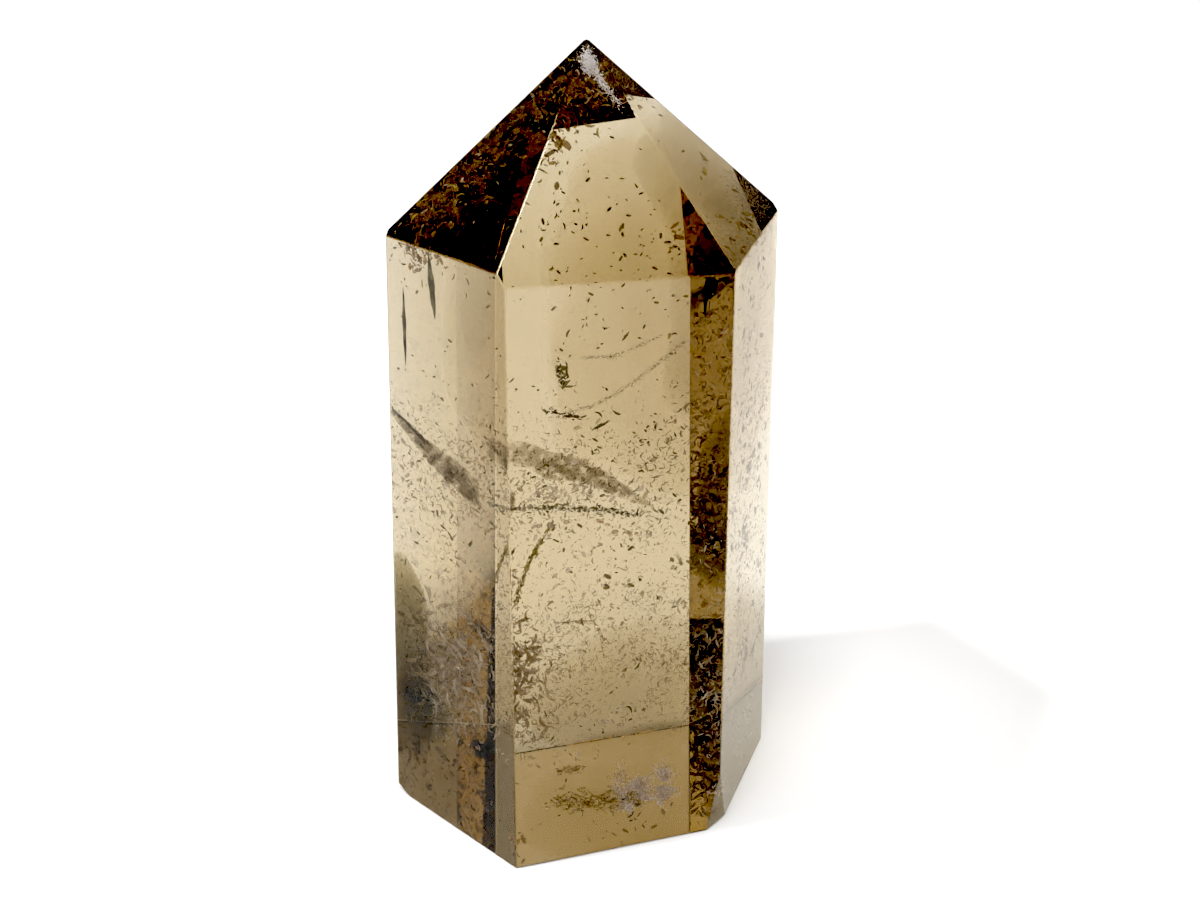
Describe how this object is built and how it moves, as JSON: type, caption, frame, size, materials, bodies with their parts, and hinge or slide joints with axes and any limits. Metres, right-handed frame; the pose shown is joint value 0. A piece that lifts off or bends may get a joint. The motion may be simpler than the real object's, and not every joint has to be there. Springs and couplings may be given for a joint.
{
  "type": "smoky quartz point",
  "caption": "Polished crystal tower of clear smoky quartz: a six-sided prism on a flat foot, cut to a six-sloped point.",
  "frame": {"origin": "on the flat foot, under the middle of the stone's bounding box", "axes": "+Z along the prism, from the foot to the tip; the arris between the front and the left side faces -Y"},
  "size_m": [0.0372, 0.0388, 0.0759],
  "materials": {
    "smoky_quartz": "polished, clear smoky brown with dark flecks, veils and hazy patches inside"
  },
  "bodies": {
    "root": {"smoky_quartz_point": "smoky_quartz"}
  },
  "joints": []
}
